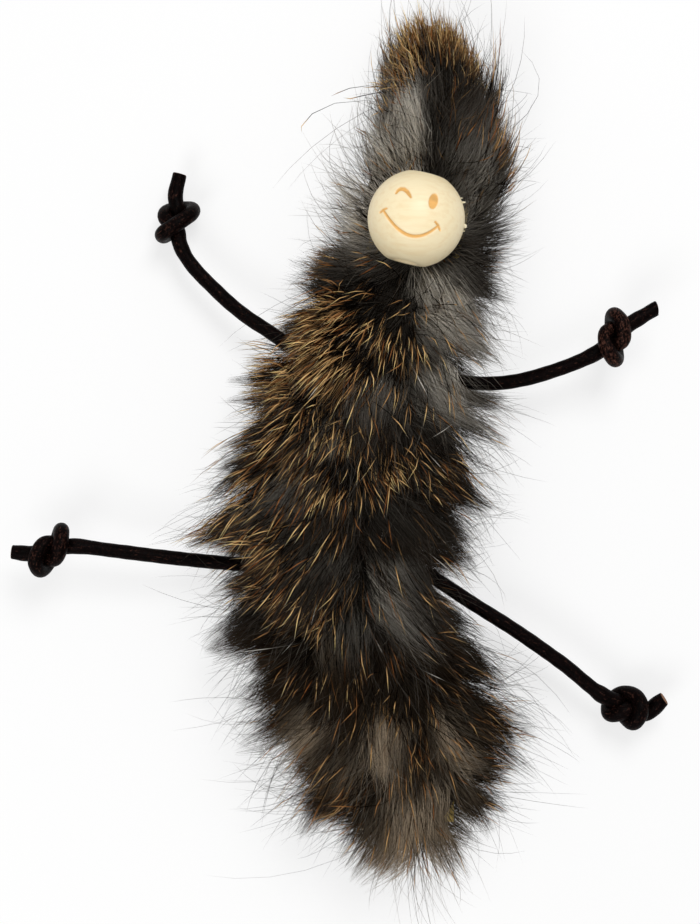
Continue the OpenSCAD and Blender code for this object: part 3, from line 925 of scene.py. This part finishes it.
def grow_hair(surface, tufts, rng, layer, weight):
    """Centre lines of one layer of hair, drawn together in small clumps and in the coat's larger tufts."""
    count, steps = layer["count"], layer["steps"]
    roots, normals = pelt_roots(surface, count, rng, weight)
    tuft = nearest(roots, tufts["places"])
    stir = layer["wander"] * (1 + 0.5 * ease(64, 78, roots[:, 1]))
    flow = turned(coat_flow(roots[:, 0], roots[:, 1]), tufts["turn"][tuft] + rng.normal(0, 1, count) * stir)
    reach = coat_reach(roots[:, 0], roots[:, 1], flow)
    size = layer["length"] * tufts["size"][tuft] * rng.uniform(*layer.get("range", (0.7, 1.2)), count)
    size *= 1 + 0.7 * ease(-62, -78, roots[:, 1]) + 0.35 * ease(64, 78, roots[:, 1])
    limit = reach * rng.uniform(0.75, 1.06, count) * tufts["size"][tuft] + layer["past"] * rng.random(count)
    edge = ease(0.35, 0.8, 1 - np.abs(normals[:, 2]))
    size = np.where(size > limit, limit, size + (np.minimum(limit, size * layer["stretch"]) - size) * edge)
    size = np.maximum(size, 3.0)
    lift = layer["lift"] * tufts["lift"][tuft] * rng.uniform(0.75, 1.25, count)
    strands = hair_lines(roots, normals, flow, size, lift, layer["sag"] * rng.uniform(0.4, 1.6, count), steps)

    along = np.linspace(0, 1, steps + 1)[None, :, None]
    middles = hair_lines(tufts["places"], tufts["normals"],
                         turned(coat_flow(*tufts["places"][:, :2].T), tufts["turn"]),
                         np.full(len(tufts["places"]), layer["length"]) * tufts["size"],
                         layer["lift"] * tufts["lift"], np.full(len(tufts["places"]), layer["sag"]), steps)
    draw = layer["tuft"] * (1 - 0.55 * ease(28, 44, roots[:, 1])) * (1 + 0.3 * edge)
    strands += (middles[tuft] - strands) * along**1.5 * draw[:, None, None]
    streak = rng.random(count)
    if layer["clump"]:
        heads = rng.choice(count, count // layer["clump_of"], replace=False)
        guide = heads[nearest(roots, roots[heads])]
        streak = streak[guide]
        strands += (strands[guide] - strands) * along**1.4 * layer["clump"]
    curl = rng.normal(0, layer["curl"], (count, 1, 3)) * np.sin(along * 3.1)
    return strands + curl, roots, tuft, streak


def hair_piece(name, strands, tone, width, material, lance=False):
    """Mesh of three-sided tapering or lance-shaped hairs with their tone and their length in a UV map."""
    count, rings = strands.shape[:2]
    rings -= 1
    ahead = unit(np.gradient(strands, axis=1))[:, :rings]
    side = unit(np.cross(ahead, np.array((0.31, 0.52, 0.8))))
    over = np.cross(ahead, side)
    along = np.arange(rings) / rings
    form = 0.4 + 0.6 * ease(0.2, 0.7, along) if lance else 1 - 0.6 * along**1.5
    thick = (width[:, None] * 0.5 * form)[:, :, None, None]
    angles = np.radians((90, 210, 330))
    ring = side[:, :, None] * np.cos(angles)[:, None] + over[:, :, None] * np.sin(angles)[:, None]
    tube = strands[:, :rings, None] + ring * thick
    points = np.concatenate([tube.reshape(count, -1, 3), strands[:, -1:]], axis=1).reshape(-1, 3)

    each = rings * 3 + 1
    walls, wall_uv, ends, end_uv = [], [], [], []
    spread = (-UV_SPREAD, 0.0, UV_SPREAD)
    for k in range(rings - 1):
        for s in range(3):
            n = (s + 1) % 3
            walls.append((k * 3 + s, k * 3 + n, k * 3 + 3 + n, k * 3 + 3 + s))
            wall_uv.append(((spread[s], k / rings), (spread[n], k / rings),
                            (spread[n], (k + 1) / rings), (spread[s], (k + 1) / rings)))
    last = (rings - 1) * 3
    for s in range(3):
        n = (s + 1) % 3
        ends.append((last + s, last + n, rings * 3))
        end_uv.append(((spread[s], 1 - 1 / rings), (spread[n], 1 - 1 / rings), (0.0, 0.995)))
    ends.append((2, 1, 0))
    end_uv.append(((UV_SPREAD, 0.0), (0.0, 0.02), (-UV_SPREAD, 0.0)))
    first = (np.arange(count) * each)[:, None, None]
    faces = [(np.array(part)[None] + first).reshape(-1, np.array(part).shape[1]) for part in (walls, ends)]
    piece = mesh_object(name, points, faces)
    spots_uv = []
    for part in (wall_uv, end_uv):
        uv = np.repeat(np.array(part)[None], count, axis=0)
        uv[..., 0] += np.clip(tone, 0.012, 0.988)[:, None, None]
        spots_uv.append(uv.reshape(-1, 2))
    layer = piece.data.uv_layers.new(name="OFBake")
    layer.data.foreach_set("uv", np.concatenate(spots_uv).astype(np.float32).ravel())
    piece.data.materials.append(material)
    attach(piece, "figure")


# Layers of the coat: strands, length in mm, segments, thickness against the coat's strand, rise from the skin,
# droop, spread of directions, draw to the tuft and to the clump, waviness, stretch at the sides, reach past the edge,
# and for some a lance shape and the range of lengths
LAYERS = {
    "wool": dict(count=80000, length=12, steps=2, stout=0.62, lift=0.85, sag=0.12, wander=0.36, tuft=0.54,
                 clump=0.3, clump_of=14, curl=0.4, stretch=1.35, past=1.0),
    "topcoat": dict(count=20000, length=17, steps=3, stout=0.72, lift=0.68, sag=0.22, wander=0.26, tuft=0.6,
                    clump=0.4, clump_of=10, curl=0.4, stretch=1.6, past=3.0),
    "ticked": dict(count=8600, length=16.5, steps=4, stout=0.75, lift=0.78, sag=0.15, wander=0.45, tuft=0.3,
                   clump=0.2, clump_of=5, curl=0.4, stretch=1.4, past=4.0, lance=True, range=(0.55, 1.25)),
    "guard": dict(count=4600, length=17.5, steps=5, stout=1.2, lift=0.92, sag=0.1, wander=0.58, tuft=0.25,
                  clump=0.35, clump_of=3, curl=0.15, stretch=1.3, past=4.0, lance=True, range=(0.5, 1.3)),
    "silver": dict(count=34, length=13, steps=5, stout=0.95, lift=0.95, sag=0.05, wander=0.7, tuft=0.0,
                   clump=0.0, clump_of=1, curl=0.25, stretch=1.2, past=4.0, lance=True, range=(0.6, 1.2)),
    "stray": dict(count=5200, length=23, steps=6, stout=0.58, lift=0.7, sag=0.1, wander=0.6, tuft=0.0,
                  clump=0.0, clump_of=1, curl=1.6, stretch=1.4, past=11.0),
}
# Stretches of the figure, in mm, that a layer with many hairs is split into
ZONED = 9000
ZONES = (("hood", 31, 200), ("chest", -1, 31), ("belly", -31, -1), ("tail", -56, -31), ("tip", -200, -56))


def coat_materials(look):
    """Materials of the layers, with browner wool and top coat for the tail."""
    dark, tip, under, pale, brown, amber, rust = (
        tuple(c) for c in (look.dark, look.tip, look.under, look.pale, look.brown, look.amber, look.rust))
    # Hair is darkest at the root, in the dark coat colour, which is partly the fur's own and partly painted shade
    # deep in the coat
    wool_dark = ((0.0, shade(dark, 0.4)), (0.5, dark), (1.0, tip))
    top_dark = ((0.0, shade(dark, 0.3)), (0.6, shade(dark, 0.8)), (1.0, shade(tip, 1.4)))
    grey = ((0.0, shade(under, 0.95)), (0.4, shade(under, 1.35)), (1.0, pale))
    brownish = ((0.0, shade(brown, 0.6)), (0.5, brown), (1.0, shade(brown, 1.3)))
    return {
        "wool": hair_material("wool", wool_dark, grey, 0.8),
        "wool_tail": hair_material("tail_wool", wool_dark, brownish, 0.8),
        "topcoat": hair_material("top_coat", top_dark, grey, 0.6),
        "topcoat_tail": hair_material("tail_top_coat", top_dark, brownish, 0.6),
        "ticked": hair_material(
            "ticked_hair", ((0.0, shade(dark, 0.5)), (0.6, dark), (0.78, shade(rust, 0.2)), (1.0, shade(rust, 0.4))),
            ((0.0, shade(dark, 0.5)), (0.6, dark), (0.74, shade(amber, 0.3)), (0.92, shade(amber, 0.5)),
             (1.0, shade(amber, 0.25))), 0.55),
        "guard": hair_material(
            "guard_hair", ((0.0, shade(dark, 0.4)), (0.66, dark), (0.76, shade(rust, 0.5)), (0.9, shade(rust, 0.8)),
                           (1.0, shade(rust, 0.3))),
            ((0.0, shade(dark, 0.5)), (0.66, dark), (0.76, amber), (0.9, shade(amber, 1.5)), (1.0, pale)), 0.5),
        "silver": hair_material(
            "silver_hair", ((0.0, dark), (0.62, shade(dark, 2)), (0.72, shade(pale, 0.6)), (1.0, pale)),
            ((0.0, dark), (0.6, shade(under, 0.6)), (0.72, shade(pale, 0.9)), (1.0, pale)), 0.5),
        "stray": hair_material(
            "stray_hair", ((0.0, shade(dark, 0.5)), (1.0, dark)),
            ((0.0, dark), (0.5, shade(tip, 1.3)), (1.0, shade(under, 0.8))), 0.6),
    }


def build_coat(look):
    """Grow the coat: soft wool, dark top coat, ticked and amber-banded hair, and odd silver and stray hairs."""
    surface = pelt_surface(bpy.data.objects["pelt_wool"])
    rng = np.random.default_rng(look.seed)
    places, normals = pelt_roots(surface, look.tufts, rng, lambda at, facing: np.ones(len(at)))
    tufts = {"places": places, "normals": normals, "turn": rng.normal(0, 0.28, look.tufts),
             "size": rng.uniform(0.6, 1.3, look.tufts), "lift": rng.uniform(0.55, 1.35, look.tufts),
             "tone": rng.gamma(0.7, 0.05, look.tufts), "amber": rng.gamma(1.1, 0.75, look.tufts)}
    materials = coat_materials(look)

    def weight(kind, at, facing):
        if kind == "silver":
            return 1.0 * ((np.abs(at[:, 1] + 8) < 38) & (facing[:, 2] > 0))
        if kind in ("guard", "ticked"):
            return (0.06 + spots(AMBER, at[:, 0], at[:, 1])) * np.where(facing[:, 2] < -0.2, 0.2, 1.0)
        return np.where(facing[:, 2] < -0.4, 0.45, 1.0)

    for kind, layer in LAYERS.items():
        strands, roots, tuft, streak = grow_hair(surface, tufts, rng, layer,
                                                 lambda at, facing: weight(kind, at, facing))
        keep = clear_of_bead(strands, rng) & part_for_limbs(strands, rng) & bare_hide_edge(strands, rng)
        ahead = strands[:, strands.shape[1] * 2 // 3]
        paleness = spots(PALE, ahead[:, 0], ahead[:, 1]) * (0.45 + 0.85 * streak)
        count = layer["count"]
        keep &= (np.abs(strands[..., 1]) < COAT_END).all(axis=1)
        if kind in ("topcoat", "ticked"):
            keep &= rng.random(count) > 0.9 * paleness
        if kind in ("guard", "ticked"):
            thick = np.maximum(spots(AMBER, roots[:, 0], roots[:, 1]) - 0.7, 0)
            keep &= rng.random(count) < tufts["amber"][tuft] + 0.35 * thick
        if kind in ("wool", "topcoat"):
            keep &= rng.random(count) > spots(THIN, ahead[:, 0], ahead[:, 1])
        patchy = tufts["tone"][tuft] * (1 + 3 * ease(-46, -62, roots[:, 1]))
        share = {"wool": 0.01 + 0.95 * paleness + patchy, "topcoat": 0.01 + 0.7 * paleness,
                 "guard": rng.beta(0.9, 0.95, count) * (1 - 0.5 * ease(-30, -50, roots[:, 1])
                                                       - 0.5 * ease(32, 44, roots[:, 1]) * ease(74, 66, roots[:, 1])),
                 "stray": 0.5 * rng.random(count) + paleness,
                 }.get(kind, rng.uniform(0.0, 1.0, count))
        tone = np.clip(share + rng.normal(0, 0.03, count), 0, 1)
        width = look.strand / MM * layer["stout"] * rng.uniform(0.7, 1.3, count)
        for zone, low, high in ZONES if count > ZONED else (("all", -200, 200),):
            chosen = keep & (roots[:, 1] >= low) & (roots[:, 1] < high)
            name = f"{kind}_{zone}"
            material = materials.get(name.replace("tip", "tail"), materials[kind])
            hair_piece(name, strands[chosen], tone[chosen], width[chosen], material, layer.get("lance", False))


# Stage


def build_stage(look):
    """White floor, even light and two soft lamps."""
    scene = bpy.context.scene
    scene.view_settings.view_transform = "Standard"
    bpy.ops.object.select_all(action="DESELECT")
    bpy.ops.mesh.primitive_plane_add(size=6, location=(0, 0, -0.2 * MM))
    floor = bpy.context.object
    floor.name = "floor"
    bpy.ops.object.transform_apply(location=True, rotation=True, scale=True)
    material = bpy.data.materials.new("floor_white")
    material.use_nodes = True
    tree = material.node_tree
    tree.nodes.clear()
    seen = add_math(tree, "MULTIPLY", add_seen(tree), 0.62)
    matt = add_node(tree, "BsdfDiffuse", {"Color": (*look.floor, 1)})
    glow = add_node(tree, "Emission", {"Strength": 1.06})
    both = add_node(tree, "MixShader", {0: seen, 1: matt.outputs[0], 2: glow.outputs[0]})
    add_node(tree, "OutputMaterial", {"Surface": both.outputs[0]})
    floor.data.materials.append(material)

    world = bpy.data.worlds.new("studio")
    scene.world = world
    world.use_nodes = True
    tree = world.node_tree
    sky = tree.nodes["Background"]
    tree.links.new(add_range(tree, add_seen(tree), 0.0, 1.0, look.world, 1.0), sky.inputs["Strength"])
    sky.inputs["Color"].default_value = (1, 1, 1, 1)

    for name, place, share in (("key_lamp", (0.12, 0.34, 0.6), 1.0), ("fill_lamp", (-0.22, -0.34, 0.5), 0.6)):
        bpy.ops.object.light_add(type="AREA", location=place)
        lamp = bpy.context.object
        lamp.name = name
        lamp.data.size = 0.28
        lamp.data.energy = look.key * share
        lamp.rotation_euler = (Vector((0, 0, 0.01)) - lamp.location).to_track_quat("-Z", "Y").to_euler()


def build_camera(look):
    """Camera straight above the figure, framed as the photograph."""
    data = bpy.data.cameras.new("camera")
    data.sensor_width = SENSOR
    data.lens = SENSOR * (look.height / MM - PHOTO_LEVEL) / (PHOTO_HEIGHT / PHOTO_SCALE)
    camera = bpy.data.objects.new("camera", data)
    camera.location = (-1.6 * MM, 0, look.height)
    bpy.context.collection.objects.link(camera)
    bpy.context.scene.camera = camera


def finish_inside(look):
    """Finishes of the parts that the coat hides: the hide, its glue and the cords' middles."""
    leather = plain_noise_material(
        "hide_suede", shade(look.hide, 0.8), shade(look.hide, 1.1), 700.0, 0.85, 0.12 * MM, 0.2)
    glue = plain_noise_material("set_glue", shade(look.glue, 0.9), shade(look.glue, 1.05), 500.0, 0.3, 0.05 * MM)
    cord = plain_noise_material("core_leather", srgb(25, 18, 18), srgb(44, 32, 30), 1200.0, 0.55, 0.08 * MM)
    for node, material in (("hide", leather), ("glue_film", glue), ("head_glue", glue),
                           ("arm_cord_core", cord), ("leg_cord_core", cord)):
        data = bpy.data.objects[node].data
        data.materials.clear()
        data.materials.append(material)


# Operators, panel and registration


class FIGURINE_OT_camera(bpy.types.Operator):
    """Set the camera above the figurine"""
    bl_idname = "figurine.camera"
    bl_label = "Camera"

    def execute(self, context):
        build_camera(context.scene.figurine_stage)
        return {"FINISHED"}


class FIGURINE_OT_cords(bpy.types.Operator):
    """Lay the four knotted leather limbs"""
    bl_idname = "figurine.cords"
    bl_label = "Cord limbs"

    def execute(self, context):
        build_cords(context.scene.figurine_cord)
        return {"FINISHED"}


class FIGURINE_OT_bead(bpy.types.Operator):
    """Turn, drill and engrave the bead head"""
    bl_idname = "figurine.bead"
    bl_label = "Bead head"

    def execute(self, context):
        build_bead(context.scene.figurine_bead)
        return {"FINISHED"}


class FIGURINE_OT_inside(bpy.types.Operator):
    """Finish the hide, the glue and the hidden cords"""
    bl_idname = "figurine.inside"
    bl_label = "Hide and glue"

    def execute(self, context):
        finish_inside(context.scene.figurine_coat)
        return {"FINISHED"}


class FIGURINE_OT_flecks(bpy.types.Operator):
    """Set the flecks of glue at the bead's rim"""
    bl_idname = "figurine.flecks"
    bl_label = "Glue flecks"

    def execute(self, context):
        build_flecks(context.scene.figurine_coat)
        return {"FINISHED"}


class FIGURINE_OT_pelt(bpy.types.Operator):
    """Loft the woolly body of the pelt"""
    bl_idname = "figurine.pelt"
    bl_label = "Pelt"

    def execute(self, context):
        build_pelt(context.scene.figurine_coat)
        return {"FINISHED"}


class FIGURINE_OT_coat(bpy.types.Operator):
    """Grow the hair of the coat"""
    bl_idname = "figurine.coat"
    bl_label = "Coat"

    def execute(self, context):
        build_coat(context.scene.figurine_coat)
        return {"FINISHED"}


class FIGURINE_OT_stage(bpy.types.Operator):
    """Set the floor and the light"""
    bl_idname = "figurine.stage"
    bl_label = "Stage"

    def execute(self, context):
        build_stage(context.scene.figurine_stage)
        return {"FINISHED"}


GROUPS = {
    "figurine_cord": FIGURINE_PG_cord,
    "figurine_bead": FIGURINE_PG_bead,
    "figurine_coat": FIGURINE_PG_coat,
    "figurine_stage": FIGURINE_PG_stage,
}
OPERATORS = (FIGURINE_OT_camera, FIGURINE_OT_cords, FIGURINE_OT_bead, FIGURINE_OT_inside,
             FIGURINE_OT_flecks, FIGURINE_OT_pelt, FIGURINE_OT_coat, FIGURINE_OT_stage)


class FIGURINE_PT_panel(bpy.types.Panel):
    """Sizes, colours and steps of the figurine"""
    bl_idname = "FIGURINE_PT_panel"
    bl_label = "Figurine"
    bl_space_type = "VIEW_3D"
    bl_region_type = "UI"
    bl_category = "Figurine"

    def draw(self, context):
        for name, group in GROUPS.items():
            box = self.layout.box()
            for prop in group.__annotations__:
                box.prop(getattr(context.scene, name), prop)
        for operator in OPERATORS:
            self.layout.operator(operator.bl_idname)


def register():
    for name, group in GROUPS.items():
        bpy.utils.register_class(group)
        setattr(bpy.types.Scene, name, bpy.props.PointerProperty(type=group))
    for item in OPERATORS + (FIGURINE_PT_panel,):
        bpy.utils.register_class(item)


def unregister():
    for item in (FIGURINE_PT_panel,) + OPERATORS[::-1]:
        bpy.utils.unregister_class(item)
    for name, group in GROUPS.items():
        delattr(bpy.types.Scene, name)
        bpy.utils.unregister_class(group)


def main():
    register()
    bpy.ops.figurine.camera()
    bpy.ops.figurine.cords()
    bpy.ops.figurine.bead()
    bpy.ops.figurine.inside()
    bpy.ops.figurine.flecks()
    bpy.ops.figurine.pelt()
    bpy.ops.figurine.coat()
    bpy.ops.figurine.stage()


if __name__ == "__main__":
    main()
